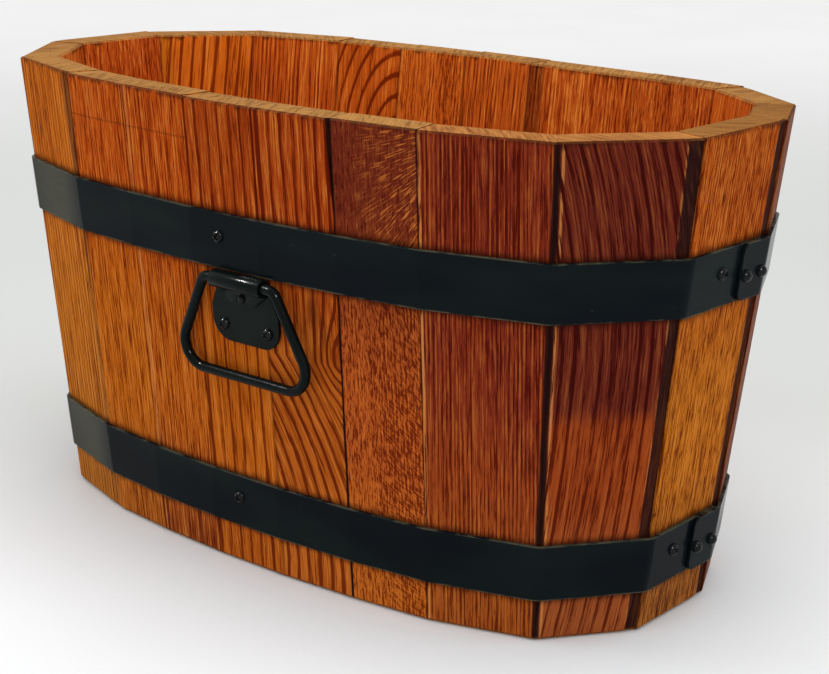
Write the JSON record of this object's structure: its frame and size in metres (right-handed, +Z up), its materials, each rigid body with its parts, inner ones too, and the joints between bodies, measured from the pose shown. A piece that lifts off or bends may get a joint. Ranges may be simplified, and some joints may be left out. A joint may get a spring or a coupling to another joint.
{
  "type": "flower pot",
  "caption": "Oval wooden flower pot of flat leaning staves, drawn in by two black lapped and riveted steel hoops, with a hinged ring handle on each long side.",
  "frame": {"origin": "on the ground under the middle of the pot", "axes": "+X along the pot's length towards the hoop laps, -Y towards the front long side, +Z up"},
  "size_m": [0.5346, 0.2962, 0.3],
  "materials": {
    "stave_wood": "gloss orange-brown varnish",
    "dark_stave_wood": "gloss red-brown varnish",
    "floor_wood": "oiled",
    "dowel_wood": "plain",
    "hoop_paint": "semi-gloss",
    "handle_paint": "gloss",
    "fastener_paint": "gloss"
  },
  "bodies": {
    "tub": {"stave_01": "stave_wood", "stave_02": "stave_wood", "stave_03": "dark_stave_wood", "stave_04": "dark_stave_wood", "stave_05": "dark_stave_wood", "stave_06": "stave_wood", "stave_07": "stave_wood", "stave_08": "stave_wood", "stave_09": "stave_wood", "stave_10": "stave_wood", "stave_11": "stave_wood", "stave_12": "dark_stave_wood", "stave_13": "stave_wood", "stave_14": "dark_stave_wood", "stave_15": "stave_wood", "stave_16": "stave_wood", "stave_17": "stave_wood", "stave_18": "stave_wood", "stave_19": "stave_wood", "stave_20": "stave_wood", "floor_board_1": "floor_wood", "floor_board_2": "floor_wood", "floor_board_3": "floor_wood", "floor_board_4": "floor_wood", "floor_dowels": "dowel_wood", "upper_hoop": "hoop_paint", "upper_hoop_rivets": "fastener_paint", "upper_hoop_screws": "fastener_paint", "lower_hoop": "hoop_paint", "lower_hoop_rivets": "fastener_paint", "lower_hoop_screws": "fastener_paint", "front_handle_plate": "handle_paint", "front_handle_rivet": "fastener_paint", "front_handle_screws": "fastener_paint", "rear_handle_plate": "handle_paint", "rear_handle_rivet": "fastener_paint", "rear_handle_screws": "fastener_paint"},
    "front_handle": {"front_handle_ring": "handle_paint"},
    "rear_handle": {"rear_handle_ring": "handle_paint"}
  },
  "joints": [
    {"name": "front_handle_hinge", "type": "hinge", "parent": "tub", "child": "front_handle", "pos_m": [0.013, -0.14252, 0.19198], "axis": [-1, 0, 0], "range_deg": [-1.5, 170]},
    {"name": "rear_handle_hinge", "type": "hinge", "parent": "tub", "child": "rear_handle", "pos_m": [-0.013, 0.14252, 0.19198], "axis": [1, 0, 0], "range_deg": [-1.5, 170]}
  ]
}
